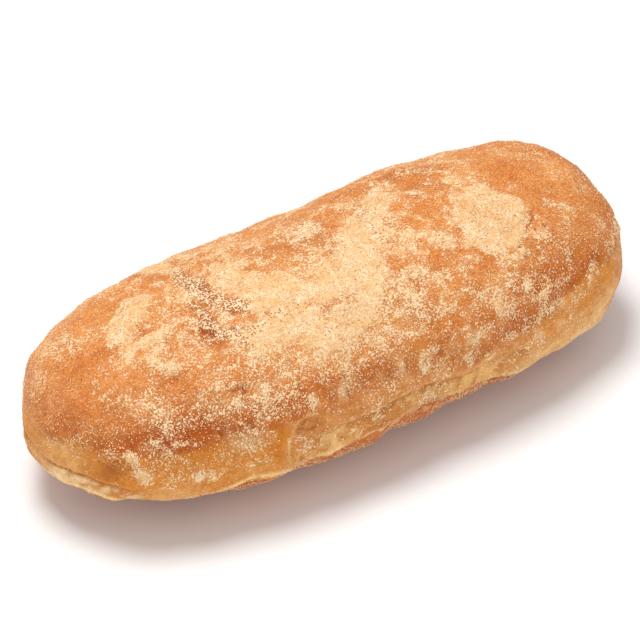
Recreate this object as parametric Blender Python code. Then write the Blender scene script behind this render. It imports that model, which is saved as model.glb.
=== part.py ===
# Kinako fried bread: one oblong yeast bun, deep fried brown on both faces, with the pale waist
# that floats out of the oil between them.
# Lengths are in metres. The bun lies along X, its near side faces -Y, and it rests on z = 0.

import math

import bpy
import numpy as np

# Driving sizes of the bun, before its weight presses the base flat
LENGTH = 0.170
WIDTH = 0.0728
HEIGHT = 0.0480
WAIST_HEIGHT = 0.46 * HEIGHT
BASE_PRESS = 0.0011

# Superellipse powers: 2 is an ellipse, and a larger power is squarer
PLAN_POWER = 2.62
PROFILE_POWER = 3.30
DOME_POWER = 2.26
BELLY_POWER = 2.48

# The surface is pushed in and out along lines that leave a core line inside the bun
CORE_END = LENGTH / 2 - 0.8 * WIDTH / 2

# Mesh: rings across the length and columns round the girth, closer together at the waist
RINGS = 66
COLUMNS = 84
WAIST_CROWDING = 0.24
OUTLINE_SAMPLES = 4000

MM = 0.001

# Swellings and hollows: place along X, girth angle, reach along X, reach across, height.
# The girth angle is in degrees: 0 at the far waist, 90 on top, 180 at the near waist, 270 underneath.
# Lengths here are in millimetres.
SWELLINGS = [
    # the outline of the whole bun
    (-4, 40, 26, 17, -2.2),
    (74, 56, 16, 17, 2.2),
    (-74, 228, 18, 18, -2.6),
    (70, 205, 22, 16, 2.6),
    (-42, 207, 14, 15, 0.8),
    (-10, 207, 12, 15, 0.8),
    (-80, 14, 12, 14, -0.8),
    (12, 40, 7, 8, -0.7),
    (-27, 40, 7, 8, -0.6),
    (83, 82, 8, 9, -1.1),
    (67, 206, 7, 7, -0.6),
    (-63, 211, 7, 7, -0.6),
    (-76, 222, 6, 6, 1.0),
    # hollows in the top crust
    (-41, 104, 6, 4.5, -0.9),
    (-34, 91, 11, 5.5, -0.6),
    (50, 118, 9, 3.5, -0.5),
    (-39, 140, 3, 2.5, -0.7),
    # the near flank: a dent over the fold, a smooth pleat and a full cheek to the left of it
    (-9, 161, 15, 4, -1.0),
    (-33, 176, 2.6, 5, -0.7),
    (-38, 175, 4.5, 5.5, 0.5),
    (-58, 172, 10, 6, 0.8),
    (-74, 158, 3.5, 3.5, 0.5),
    (-70, 173, 3.5, 4, 0.6),
    # dimples under the near lip
    (-1, 205, 3.5, 6, -1.2),
    (24, 205, 7, 6, -0.7),
    (-28, 204, 4, 5.5, -0.6),
    (58, 206, 9, 5, -0.6),
    # the far flank
    (-48, 12, 9, 6, 0.8),
    (-12, 20, 12, 4.5, -0.8),
    (30, 8, 8, 6, 0.6),
]

# Folds in the waist: side (-1 near, 1 far), X from, X to, height at start, middle and end, depth.
# They wobble up and down by sine waves of (height, length over 2 pi, phase), and swing in depth.
# All lengths are in millimetres.
FOLDS = [
    (-1, -28, 44, 22.3, 23.6, 20.5, 1.05),
    (-1, -90, -66, 21.5, 19.3, 13.0, 0.95),
    (1, -92, -70, 22.0, 22.4, 23.5, 0.85),
    (-1, 64, 92, 29.0, 30.0, 30.0, 0.60),
    (1, 66, 92, 29.5, 30.0, 30.0, 0.55),
    (1, -40, 34, 20.5, 24.0, 21.5, 0.95),
]
FOLD_HALF_WIDTH = 1.1
FOLD_END_FADE = 7.0
FOLD_WOBBLES = [(0.50, 3.9, 0.4), (0.65, 8.7, 2.1)]
FOLD_DEPTH_SWING = (0.30, 6.3)
FOLD_TIP_GAP = (1.0, 5.0)
OVERHANG_SHARE = 0.55
OVERHANG_RISE = 2.2
OVERHANG_HALF_WIDTH = 1.45

# Near and far features change over within this distance of the middle plane, in millimetres
SIDE_BLEND = 7.0

# The lip where the pale waist ends over the browned underside.
# Its height follows the side: a level, and bumps of (X, reach along X, rise), in millimetres.
LIP_NEAR = (13.4, [(4, 24, 4.8), (-67, 12, -3.6), (56, 20, -1.0)])
LIP_FAR = (13.8, [(-30, 22, 2.4), (26, 18, -1.8), (70, 16, 1.5)])
LIP_STEP = 0.95
LIP_BEAD = 0.35
LIP_HALF_WIDTH = 1.2
BASE_FADE = 5.0

# Slow uneven waves of the whole crust
WAVE_SEED = 11
WAVE_COUNT = 26
WAVE_LENGTHS = (9.0, 34.0)
WAVE_HEIGHT = 0.14
WAVE_ROUGHNESS = 0.6
WAVE_FADE = (1.0, 7.0)

CRUST_COLOUR = (0.79, 0.32, 0.10, 1.0)
CRUST_ROUGHNESS = 0.62


def clear_scene():
    for obj in list(bpy.data.objects):
        bpy.data.objects.remove(obj, do_unlink=True)


def smooth_step(value, low, high):
    share = np.clip((value - low) / (high - low), 0.0, 1.0)
    return share * share * (3.0 - 2.0 * share)


def signed_power(value, power):
    return np.sign(value) * np.abs(value) ** power


def taper(along, power):
    """How much of a full cross-section is left at along, from -1 to 1 over the length."""
    return np.maximum(1.0 - np.abs(along) ** power, 0.0) ** (1.0 / power)


def plain_bun(along, girth):
    """Points of the smooth bun: a superellipse in plan and in profile, with a domed cross-section."""
    power = np.where(np.sin(girth) > 0, 2 / DOME_POWER, 2 / BELLY_POWER)
    up = signed_power(np.sin(girth), power)
    out = signed_power(np.cos(girth), power)
    rise = np.where(up > 0, HEIGHT - WAIST_HEIGHT, WAIST_HEIGHT)
    x = LENGTH / 2 * along
    y = WIDTH / 2 * taper(along, PLAN_POWER) * out
    z = WAIST_HEIGHT + rise * taper(along, PROFILE_POWER) * up
    return np.stack([x, y, z], axis=-1)


def outward(points):
    """Unit directions away from the core line."""
    core = np.zeros_like(points)
    core[:, 0] = np.clip(points[:, 0], -CORE_END, CORE_END)
    core[:, 2] = WAIST_HEIGHT
    away = points - core
    return away / np.linalg.norm(away, axis=1, keepdims=True)


def swelling_height(points):
    """A sum of soft bumps, each round a centre on the smooth bun."""
    height = np.zeros(len(points))
    for x, angle, reach_along, reach_across, rise in SWELLINGS:
        centre = plain_bun(x * MM / (LENGTH / 2), math.radians(angle))
        away = (points - centre) / MM
        along = away[:, 0] / reach_along
        across = np.hypot(away[:, 1], away[:, 2]) / reach_across
        height += rise * MM * np.exp(-(along**2) - across**2)
    return height


def fold_height(points):
    """Each fold is a groove with the dough above it hanging over as a soft ridge."""
    height = np.zeros(len(points))
    x, y, z = (points / MM).T
    wobble = sum(rise * np.sin(x / length + phase) for rise, length, phase in FOLD_WOBBLES)
    swing, swing_length = FOLD_DEPTH_SWING
    strength = 1.0 - swing + swing * np.sin(x / swing_length)
    strength *= smooth_step(np.hypot(y, z - WAIST_HEIGHT / MM), *FOLD_TIP_GAP)
    for side, x_from, x_to, z_from, z_middle, z_to, depth in FOLDS:
        share = (x - x_from) / (x_to - x_from)
        sag = 4.0 * share * (1.0 - share) * (z_middle - (z_from + z_to) / 2)
        level = z_from + (z_to - z_from) * share + sag + wobble
        groove = np.exp(-(((z - level) / FOLD_HALF_WIDTH) ** 2))
        overhang = np.exp(-(((z - level - OVERHANG_RISE) / OVERHANG_HALF_WIDTH) ** 2))
        present = smooth_step(x, x_from, x_from + FOLD_END_FADE)
        present *= 1.0 - smooth_step(x, x_to - FOLD_END_FADE, x_to)
        present *= smooth_step(side * y, -SIDE_BLEND, SIDE_BLEND)
        height += depth * MM * (OVERHANG_SHARE * overhang - groove) * present * strength
    return height


def lip_level(x, side):
    level, bumps = side
    return level + sum(rise * np.exp(-(((x - place) / reach) ** 2)) for place, reach, rise in bumps)


def lip_height(points):
    """The underside is set back below the lip, and the lip itself is a thin bead."""
    x, z = points[:, 0] / MM, points[:, 2] / MM
    far_share = smooth_step(points[:, 1] / MM, -SIDE_BLEND, SIDE_BLEND)
    level = lip_level(x, LIP_NEAR) * (1.0 - far_share) + lip_level(x, LIP_FAR) * far_share
    below = smooth_step(level - z, -LIP_HALF_WIDTH, LIP_HALF_WIDTH)
    tucked = below * smooth_step(z, 0.0, BASE_FADE)
    bead = np.exp(-(((z - level - LIP_HALF_WIDTH) / LIP_HALF_WIDTH) ** 2))
    return (LIP_BEAD * bead - LIP_STEP * tucked) * MM


def wave_height(points):
    """A sum of plane waves in seeded directions, longer ones taller, fading out at the base."""
    draw = np.random.default_rng(WAVE_SEED)
    directions = draw.normal(size=(WAVE_COUNT, 3))
    directions /= np.linalg.norm(directions, axis=1, keepdims=True)
    lengths = np.geomspace(*WAVE_LENGTHS, WAVE_COUNT)
    phases = draw.uniform(0.0, 2 * math.pi, WAVE_COUNT)
    turns = points @ (directions * (2 * math.pi / (lengths * MM))[:, None]).T + phases
    heights = WAVE_HEIGHT * MM * (lengths / WAVE_LENGTHS[1]) ** WAVE_ROUGHNESS
    return (np.sin(turns) @ heights) * smooth_step(points[:, 2] / MM, *WAVE_FADE)


def shaped_bun(along, girth):
    smooth = plain_bun(along, girth)
    height = swelling_height(smooth) + wave_height(smooth)
    height += fold_height(smooth) + lip_height(smooth)
    points = smooth + outward(smooth) * height[:, None]
    points[:, 2] = np.maximum(points[:, 2] - BASE_PRESS, 0.0)
    middle = (points.min(axis=0) + points.max(axis=0)) / 2
    points[:, :2] -= middle[:2]
    return points


def even_stations(count):
    """Places along the length, from -1 to 1, that are evenly spaced along the bun's outline in plan."""
    angle = np.linspace(0.0, math.pi, OUTLINE_SAMPLES)
    along = -np.cos(angle)
    outline = np.stack([LENGTH / 2 * along, WIDTH / 2 * taper(along, PLAN_POWER)], axis=1)
    run = np.concatenate([[0.0], np.cumsum(np.linalg.norm(np.diff(outline, axis=0), axis=1))])
    return -np.cos(np.interp(np.linspace(0.0, run[-1], count + 1), run, angle))


def sphere_with_poles_on_x():
    bpy.ops.mesh.primitive_uv_sphere_add(
        segments=COLUMNS, ring_count=RINGS, radius=1.0, rotation=(0.0, math.pi / 2, 0.0)
    )
    bpy.ops.object.transform_apply(location=False, rotation=True, scale=False)
    return bpy.context.object


def shape_mesh(mesh):
    """Moves each point of the unit sphere to its place on the bun."""
    count = len(mesh.vertices)
    sphere = np.empty(count * 3, np.float32)
    mesh.vertices.foreach_get("co", sphere)
    sphere = sphere.reshape(count, 3).astype(np.float64)
    ring = np.arccos(np.clip(-sphere[:, 0], -1.0, 1.0)) / math.pi * RINGS
    along = np.interp(ring, np.arange(RINGS + 1), even_stations(RINGS))
    turn = np.arctan2(sphere[:, 2], sphere[:, 1])
    girth = turn - WAIST_CROWDING * np.sin(2 * turn)
    mesh.vertices.foreach_set("co", shaped_bun(along, girth).astype(np.float32).ravel())
    mesh.update()


def crust_material():
    material = bpy.data.materials.new("fried_crust")
    material.use_nodes = True
    shader = material.node_tree.nodes["Principled BSDF"]
    shader.inputs["Base Color"].default_value = CRUST_COLOUR
    shader.inputs["Roughness"].default_value = CRUST_ROUGHNESS
    shader.inputs["Metallic"].default_value = 0.0
    return material


def build_bread():
    bread = sphere_with_poles_on_x()
    bread.name = "fried_bread"
    bread.data.name = "fried_bread"
    shape_mesh(bread.data)
    bread.data.shade_smooth()
    bread.data.materials.append(crust_material())
    collection = bpy.data.collections.new("kinako_fried_bread")
    bpy.context.scene.collection.children.link(collection)
    for holder in list(bread.users_collection):
        holder.objects.unlink(bread)
    collection.objects.link(bread)
    return bread


def main():
    clear_scene()
    build_bread()


main()
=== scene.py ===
import math

import bpy
import numpy as np
from mathutils import Matrix


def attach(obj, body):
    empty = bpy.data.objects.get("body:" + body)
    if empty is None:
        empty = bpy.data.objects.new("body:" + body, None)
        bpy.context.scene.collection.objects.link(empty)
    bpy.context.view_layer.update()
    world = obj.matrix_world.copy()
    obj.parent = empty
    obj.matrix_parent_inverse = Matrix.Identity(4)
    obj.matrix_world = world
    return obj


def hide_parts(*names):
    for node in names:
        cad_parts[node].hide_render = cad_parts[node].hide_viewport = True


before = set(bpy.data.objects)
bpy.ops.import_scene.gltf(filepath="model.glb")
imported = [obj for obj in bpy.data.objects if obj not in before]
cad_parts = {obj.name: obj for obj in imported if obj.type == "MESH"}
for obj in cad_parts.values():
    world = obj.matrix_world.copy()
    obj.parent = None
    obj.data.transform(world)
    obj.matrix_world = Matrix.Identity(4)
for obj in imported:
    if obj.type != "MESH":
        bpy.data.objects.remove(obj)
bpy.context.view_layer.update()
mm = 0.001  # shapes are worked out in millimetres and turned into metres when a mesh is made


# Small helpers for shapes, noise and colour

def smoothStep(value, low, high):
    # 0 below low, 1 above high, and a smooth cubic between them
    share = np.clip((value - low) / (high - low), 0.0, 1.0)
    return share * share * (3.0 - 2.0 * share)


def bell(value, centre, reach):
    # a Gaussian bump: 1 at centre, down to 1/e at a distance of reach
    return np.exp(-(((value - centre) / reach) ** 2))


latticeHash = {
    "size": 8192,
    "primes": (73856093, 19349663, 83492791),
    "shift": 13,
    "octaveSeed": 17,  # added to the seed for each finer octave
}


def latticeNoise(points, cell, seed):
    # Value noise from -1 to 1: every corner of a cubic lattice takes a random value from a table,
    # by a hash of its place, and a point blends the eight corners round it with smooth weights.
    # cell may be one size or three.
    size, primes = latticeHash["size"], np.array(latticeHash["primes"])
    table = np.random.default_rng(seed).uniform(-1.0, 1.0, size)
    place = points / np.asarray(cell, float)
    base = np.floor(place).astype(np.int64)
    share = place - base
    share = share * share * (3.0 - 2.0 * share)
    total = np.zeros(len(points))
    for corner in np.ndindex(2, 2, 2):
        weight = np.prod(np.where(np.array(corner) == 1, share, 1.0 - share), axis=1)
        key = (base + corner) @ primes
        total += weight * table[(key ^ (key >> latticeHash["shift"])) & (size - 1)]
    return total


def fractalNoise(points, cell, octaves, seed):
    # lattice noise at cell, cell / 2, cell / 4 and so on, each half as strong as the last
    cell = np.asarray(cell, float)
    total = np.zeros(len(points))
    for octave in range(octaves):
        finer = seed + latticeHash["octaveSeed"] * octave
        total += latticeNoise(points, cell / 2**octave, finer) / 2**octave
    return total


# every noise on the skin: cell in millimetres, one or three, then octaves and seed
skinNoises = {
    "bandEdge": (7.0, 3, 301),
    "lipEdge": (4.0, 2, 251),
    "patchEdge": (3.6, 3, 83),
    "thinning": (4.2, 4, 89),
    "dusting": (7.0, 4, 71),
    "lace": ((8.0, 6.0, 6.0), 4, 75),
    "unseenPatches": (13.0, 4, 97),
    "haze": (7.0, 4, 307),
    "fleck": ((3.2, 2.6, 2.6), 4, 173),
    "mottle": (9.0, 4, 131),
    "fine": (2.6, 3, 151),
    "waistStreaks": ((1.7, 8.0, 7.0), 3, 167),
    "bellyDark": (1.6, 2, 159),
    "bellyPale": ((1.2, 2.0, 1.8), 3, 157),
    "wrinkle": ((2.0, 9.0, 6.5), 4, 229),
    "pitWarp": (2.2, 2, 211),
    "creaseWander": (5.0, 2, 263),
    "bowlEdge": (3.0, 2, 277),
    "bowlMottle": (1.3, 3, 293),
    "powderGrain": (1.1, 2, 173),
    "crustGrain": (2.4, 3, 191),
    "undulation": ((7.0, 6.0, 6.0), 2, 181),
    "lumps": (1.5, 2, 283),
}


def noiseOf(points, kind, shift=0):
    # the named noise; shift moves its seed, for a second one like it
    cell, octaves, seed = skinNoises[kind]
    return fractalNoise(points, cell, octaves, seed + shift)


def screenColour(red, green, blue):
    # a colour on screen, from 0 to 255, as the linear light that shaders use
    value = np.array([red, green, blue]) / 255.0
    return np.where(value > 0.04045, ((value + 0.055) / 1.055) ** 2.4, value / 12.92)


def mixColour(first, second, share):
    # first where share is 0, second where it is 1, a straight blend between
    return first + (second - first) * share[:, None]


# The bun's main form, the same as the solid's

bunForm = {
    "length": 170.0,
    "width": 72.8,
    "height": 48.0,
    "waistShare": 0.46,  # how high the widest line lies, as a share of the height
    "planPower": 2.62,
    "profilePower": 3.30,
    "domePower": 2.26,
    "bellyPower": 2.48,
    "basePress": 1.1,
    "coreShare": 0.8,  # how far the core line ends from the tips, in half widths
    "sideBlend": 7.0,
}
waistHeight = bunForm["waistShare"] * bunForm["height"]
coreEnd = bunForm["length"] / 2 - bunForm["coreShare"] * bunForm["width"] / 2

# place along X, girth angle in degrees, reach along X, reach across, height
swellings = [
    (-4, 40, 26, 17, -2.2),
    (74, 56, 16, 17, 2.2),
    (-74, 228, 18, 18, -2.6),
    (70, 205, 22, 16, 2.6),
    (-42, 207, 14, 15, 0.8),
    (-10, 207, 12, 15, 0.8),
    (-80, 14, 12, 14, -0.8),
    (12, 40, 7, 8, -0.7),
    (-27, 40, 7, 8, -0.6),
    (83, 82, 8, 9, -1.1),
    (67, 206, 7, 7, -0.6),
    (-63, 211, 7, 7, -0.6),
    (-76, 222, 6, 6, 1.0),
    (-41, 104, 6, 4.5, -0.9),
    (-34, 91, 11, 5.5, -0.6),
    (50, 118, 9, 3.5, -0.5),
    (-39, 140, 3, 2.5, -0.7),
    (-9, 161, 15, 4, -1.0),
    (-33, 176, 2.6, 5, -0.7),
    (-38, 175, 4.5, 5.5, 0.5),
    (-58, 172, 10, 6, 0.8),
    (-74, 158, 3.5, 3.5, 0.5),
    (-70, 173, 3.5, 4, 0.6),
    (-1, 205, 3.5, 6, -1.2),
    (24, 205, 7, 6, -0.7),
    (-28, 204, 4, 5.5, -0.6),
    (58, 206, 9, 5, -0.6),
    (-48, 12, 9, 6, 0.8),
    (-12, 20, 12, 4.5, -0.8),
    (30, 8, 8, 6, 0.6),
]

# side (-1 near, 1 far), X from, X to, height at start, middle and end, depth
foldPaths = [
    (-1, -28, 44, 22.3, 23.6, 20.5, 0.65),
    (-1, -90, -66, 21.5, 19.3, 13.0, 0.95),
    (1, -92, -70, 22.0, 22.4, 23.5, 0.85),
    (-1, 64, 92, 29.0, 30.0, 30.0, 0.60),
    (1, 66, 92, 29.5, 30.0, 30.0, 0.55),
    (1, -40, 34, 20.5, 24.0, 21.5, 0.95),
]

foldShape = {
    "halfWidth": 0.8,
    "endFade": 7.0,
    "wobbles": [(0.50, 3.9, 0.4), (0.65, 8.7, 2.1)],  # height, length over 2 pi, phase
    "depthSwing": (0.30, 6.3),  # share of the depth, length over 2 pi
    "tipGap": (1.0, 5.0),
    "overhangShare": 0.55,
    "overhangRise": 2.2,
    "overhangHalfWidth": 1.45,
}

lipShape = {
    "near": (13.4, [(4, 24, 4.8), (-67, 12, -3.6), (56, 20, -1.0)]),  # level, (X, reach, rise)
    "far": (13.8, [(-30, 22, 2.4), (26, 18, -1.8), (70, 16, 1.5)]),
    "step": 0.95,
    "bead": 0.35,
    "halfWidth": 1.2,
    "baseFade": 5.0,
}

waveShape = {
    "seed": 11,
    "count": 26,
    "lengths": (9.0, 34.0),
    "height": 0.14,
    "roughness": 0.6,
    "fade": (1.0, 7.0),
}


def taper(along, power):
    # how much of a full cross-section is left at along, which runs from -1 to 1
    return np.maximum(1.0 - np.abs(along) ** power, 0.0) ** (1.0 / power)


def plainBun(along, girth):
    # A superellipse in plan and in profile; round the girth, the cosine and sine are raised to a
    # power under 1, which squares the cross-section a little, less on the dome than on the belly.
    power = np.where(np.sin(girth) > 0, 2 / bunForm["domePower"], 2 / bunForm["bellyPower"])
    up = np.sign(np.sin(girth)) * np.abs(np.sin(girth)) ** power
    out = np.sign(np.cos(girth)) * np.abs(np.cos(girth)) ** power
    rise = np.where(up > 0, bunForm["height"] - waistHeight, waistHeight)
    x = bunForm["length"] / 2 * along
    y = bunForm["width"] / 2 * taper(along, bunForm["planPower"]) * out
    z = waistHeight + rise * taper(along, bunForm["profilePower"]) * up
    return np.stack([x, y, z], axis=-1)


def awayFromCore(points):
    # unit directions away from a line along the bun's middle
    core = np.zeros_like(points)
    core[:, 0] = np.clip(points[:, 0], -coreEnd, coreEnd)
    core[:, 2] = waistHeight
    away = points - core
    return away / np.linalg.norm(away, axis=1, keepdims=True)


def centreOn(x, angle):
    # the place on the smooth bun at x along it and angle degrees round its girth
    return plainBun(x / (bunForm["length"] / 2), math.radians(angle))


def patchShare(points, x, angle, reachAlong, reachAcross):
    # a Gaussian patch round a centre on the smooth bun: 1 in its middle, 1/e at its reach
    away = points - centreOn(x, angle)
    across = np.hypot(away[:, 1], away[:, 2]) / reachAcross
    return np.exp(-((away[:, 0] / reachAlong) ** 2) - across**2)


def addPatches(values, points, rows):
    # values plus a Gaussian patch for each row, whose last number is how high the patch is
    for row in rows:
        values = values + row[-1] * patchShare(points, *row[:-1])
    return values


def foldLevel(x, path):
    # a parabola from start through middle to end, with the shared wobble on top
    xFrom, xTo, zFrom, zMiddle, zTo = path[1:6]
    share = (x - xFrom) / (xTo - xFrom)
    sag = 4.0 * share * (1.0 - share) * (zMiddle - (zFrom + zTo) / 2)
    wobble = sum(rise * np.sin(x / length + phase) for rise, length, phase in foldShape["wobbles"])
    return zFrom + (zTo - zFrom) * share + sag + wobble


def foldPresence(points, path):
    # 1 along the fold, fading out at its ends, on the other side and at the bun's tips
    x, y, z = points.T
    side, xFrom, xTo = path[:3]
    present = smoothStep(x, xFrom, xFrom + foldShape["endFade"])
    present *= 1.0 - smoothStep(x, xTo - foldShape["endFade"], xTo)
    present *= smoothStep(side * y, -bunForm["sideBlend"], bunForm["sideBlend"])
    return present * smoothStep(np.hypot(y, z - waistHeight), *foldShape["tipGap"])


def foldHeight(points):
    # a Gaussian groove with a softer Gaussian ridge of dough hanging over it
    x, z = points[:, 0], points[:, 2]
    swing, swingLength = foldShape["depthSwing"]
    strength = 1.0 - swing + swing * np.sin(x / swingLength)
    height = np.zeros(len(points))
    for path in foldPaths:
        level = foldLevel(x, path)
        groove = bell(z, level, foldShape["halfWidth"])
        overhang = bell(z, level + foldShape["overhangRise"], foldShape["overhangHalfWidth"])
        shape = foldShape["overhangShare"] * overhang - groove
        height += path[-1] * shape * foldPresence(points, path) * strength
    return height


def farShare(points):
    # 0 on the near side and 1 on the far side, blended across the bun's middle
    return smoothStep(points[:, 1], -bunForm["sideBlend"], bunForm["sideBlend"])


def levelAlong(points, near, far):
    # a height that follows each side: a level plus Gaussian rises along X
    def level(side):  # the level on one side, all along X
        start, rises = side
        return start + sum(rise * bell(points[:, 0], x, reach) for x, reach, rise in rises)
    share = farShare(points)
    return level(near) * (1.0 - share) + level(far) * share


def lipLevel(points):
    # the height of the lip over the underside
    return levelAlong(points, lipShape["near"], lipShape["far"])


# where the browned underside's edge strays from the lip: X, reach, rise
seamShifts = [
    (-79, 6, 1.3),
    (-41, 6, 2.2),
    (-29.5, 2, -2.4),
    (-24, 2.5, 1.2),
    (-19.5, 2, 1.0),
    (-14.5, 2, -1.6),
    (-4, 3, -3.6),
    (8, 6, 1.1),
]


def seamLevel(points):
    # the lip's level plus a Gaussian for each shift, on the near side only
    near = sum(rise * bell(points[:, 0], x, reach) for x, reach, rise in seamShifts)
    return lipLevel(points) + near * (1.0 - farShare(points))


def lipHeight(points):
    # the underside is set back below the lip, and the lip itself is a thin bead
    z, half = points[:, 2], lipShape["halfWidth"]
    level = lipLevel(points)
    tucked = smoothStep(level - z, -half, half) * smoothStep(z, 0.0, lipShape["baseFade"])
    return lipShape["bead"] * bell(z, level + half, half) - lipShape["step"] * tucked


def waveHeight(points):
    # a sum of plane waves in seeded directions, longer ones taller, fading out at the base
    draw = np.random.default_rng(waveShape["seed"])
    directions = draw.normal(size=(waveShape["count"], 3))
    directions /= np.linalg.norm(directions, axis=1, keepdims=True)
    lengths = np.geomspace(*waveShape["lengths"], waveShape["count"])
    phases = draw.uniform(0.0, 2 * math.pi, waveShape["count"])
    turns = points @ (directions * (2 * math.pi / lengths)[:, None]).T + phases
    heights = waveShape["height"] * (lengths / waveShape["lengths"][1]) ** waveShape["roughness"]
    return (np.sin(turns) @ heights) * smoothStep(points[:, 2], *waveShape["fade"])


def mainForm(smooth):
    # the smooth bun, pushed away from its core by swellings, waves, folds and the lip
    height = addPatches(np.zeros(len(smooth)), smooth, swellings) + waveHeight(smooth)
    height += foldHeight(smooth) + lipHeight(smooth)
    return smooth + awayFromCore(smooth) * height[:, None]


# Where the browned crust ends and the pale waist begins

waistBand = {
    "near": (29.6, [(26, 24, -4.6), (-6, 14, -1.0)]),
    "far": (28.8, [(-20, 22, -2.5), (40, 20, 1.2)]),
    "softness": 1.6,
    "ragged": 1.1,
    "lipSoftness": 0.5,
    "lipRagged": 0.6,
    "underFold": (-0.6, 0.8),  # how far below the fold the tone under it fades in
    "underRoll": (0.0, 1.2),
}


def bandTop(points):
    # the level of the waist's upper edge on each side, made ragged by noise
    ragged = waistBand["ragged"] * noiseOf(points, "bandEdge")
    return levelAlong(points, waistBand["near"], waistBand["far"]) + ragged


# Where the powder lies. A stroke is X, girth angle, X, girth angle, half width, strength.

powderStrokes = [
    # the left patch
    (-60, 87, -49, 76, 3.0, 1.0),
    (-38, 58, -34, 70, 2.2, 0.8),
    (-59, 98, -51, 99, 2.4, 0.9),
    (-56, 103, -54, 115, 2.0, 0.8),
    (-47, 103, -43, 108, 1.1, 0.55),
    (-43, 107, -38, 111, 1.4, 0.9),
    # round the coarse hollow
    (-37, 50, -34, 68, 3.8, 0.80),
    (-40.8, 72, -39, 95, 1.4, 0.95),
    (-33.6, 75, -34.5, 88, 2.6, 0.62),
    (-34.5, 88, -30.5, 97, 2.6, 0.62),
    (-31.5, 80, -30.2, 86, 1.2, 0.95),
    (-38.7, 108, -31, 110, 2.6, 0.62),
    (-38, 96, -42, 106, 2.2, 0.42),
    (-28, 78, -22, 92, 3.2, 1.0),
    (-31, 100, -28, 108, 2.0, 0.7),
    # the big field in the middle
    (-30, 118, -14, 122, 6.0, 1.0),
    (-24, 100, 2, 108, 6.0, 1.0),
    (-16, 126, 0, 123, 5.0, 1.0),
    (0, 108, 8, 96, 6.0, 1.0),
    (4, 117, 8, 110, 4.6, 1.0),
    (7, 90, 21, 84, 3.6, 1.0),
    (8, 100, 18, 92, 3.2, 1.0),
    (10, 104, 16, 106, 1.8, 0.85),
    # streaks on the far shoulder
    (-24, 64, -15, 58, 1.8, 0.8),
    (-20, 72, -12, 68, 1.3, 0.7),
    (-4, 81, 4, 77, 2.0, 0.60),
    (12, 72, 25, 69, 2.6, 0.65),
    (20, 80, 29, 77, 1.7, 0.7),
    # the narrow branch
    (18, 100, 27, 104, 1.3, 0.75),
    (27, 106, 35, 114, 2.0, 1.0),
    # the right patch
    (38, 99, 46, 95, 3.9, 1.0),
    (40, 110, 49, 108, 5.6, 1.0),
    (43, 118, 48, 117, 2.8, 1.0),
    (42, 127, 47, 131, 1.8, 0.65),
    (43, 80, 48, 82, 1.6, 0.60),
    (53, 124, 56, 127, 1.8, 0.70),
    # small patches on the right crust
    (61, 112, 67, 120, 1.2, 0.5),
    (62, 125, 61, 133, 1.0, 0.55),
    # dabs low on the near side, from left to right
    (-30, 146, -27, 152, 1.2, 0.6),
    (-26, 156, -23, 160, 1.5, 0.6),
    (6, 156, 8, 162, 1.4, 0.55),
    (10, 158, 13, 157, 1.2, 0.6),
    (19, 152, 22, 155, 1.6, 0.45),
    (20, 172, 24, 175, 1.2, 0.6),
    (28, 144, 34, 149, 1.6, 0.5),
    (33, 146, 34, 156, 1.6, 0.5),
    (43.5, 148, 46.5, 150, 1.4, 0.8),
    (45, 148, 47, 156, 1.3, 0.6),
    # crumbs on the near flank
    (-47, 161, -42, 169, 2.3, 0.6),
    (-43, 170, -41, 174, 1.4, 0.42),
    # fading streaks where the crust ends at the right
    (77, 146, 72, 159, 0.9, 0.45),
    (71, 155, 65, 168, 0.9, 0.45),
    (80, 150, 82, 164, 1.3, 0.6),
    (65, 164, 57, 174, 0.7, 0.55),
    (60, 172, 55, 178, 0.6, 0.5),
    # small patches on the left end
    (-74, 102, -71, 104, 1.1, 0.40),
    (-71, 114, -69.5, 122, 0.8, 0.45),
    (-73, 131, -69.5, 136, 0.7, 0.40),
    (-75, 156, -71, 166, 1.2, 0.9),
    (-71, 166, -69, 180, 1.0, 0.8),
    (-62, 157, -56, 160, 1.0, 0.35),
    (-56, 180, -54, 182, 1.3, 0.8),
]

# islands of bare or half bare crust within the powder
crustIslands = [
    (-31, 72, -28.5, 78, 0.8, 0.60),
    (-35, 102, -30, 103, 1.2, 0.35),
    (-16, 86, -6, 90, 3.6, 0.75),
    (-26, 124, -23, 128, 1.6, 0.5),
    (-12, 114, -10, 118, 0.8, 0.35),
    (24, 88, 30, 96, 3.2, 0.75),
    (13, 114, 34, 122, 3.0, 0.75),
    (9, 119, 14, 121, 1.5, 0.55),
    (14, 128, 24, 138, 3.0, 0.5),
    (-13, 95, -9, 99, 1.6, 0.35),
]

# where the powder is coarse and open: round the hollow at the left of the field, then elsewhere
coarsePatches = [
    (-33.6, 74, -34.5, 88, 3.2, 1.0),
    (-34.5, 88, -30.5, 97, 3.3, 1.0),
    (-38.5, 97, -40.5, 105, 2.6, 1.0),
    (-38.7, 108, -31, 111, 2.3, 1.0),
    (-36.5, 115, -35, 118, 1.6, 0.8),
    (-43, 108, -40, 112, 1.8, 0.8),
    (-24, 104, -21, 108, 1.4, 0.6),
    (-6, 72, 6, 74, 2.6, 0.6),
    (-2, 88, 6, 92, 1.6, 0.5),
    (-14, 82, 4, 84, 3.4, 0.6),
    (18, 76, 15, 97, 2.2, 0.6),
    (29, 104, 37, 106, 1.8, 0.6),
    (6, 128, 12, 138, 2.6, 0.6),
    (24, 62, 44, 66, 3.0, 0.5),
    (-30, 155, 22, 158, 3.5, 0.35),
    (-72, 140, -38, 148, 7.0, 0.42),
    (4, 138, 66, 138, 7.0, 0.36),
]

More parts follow.
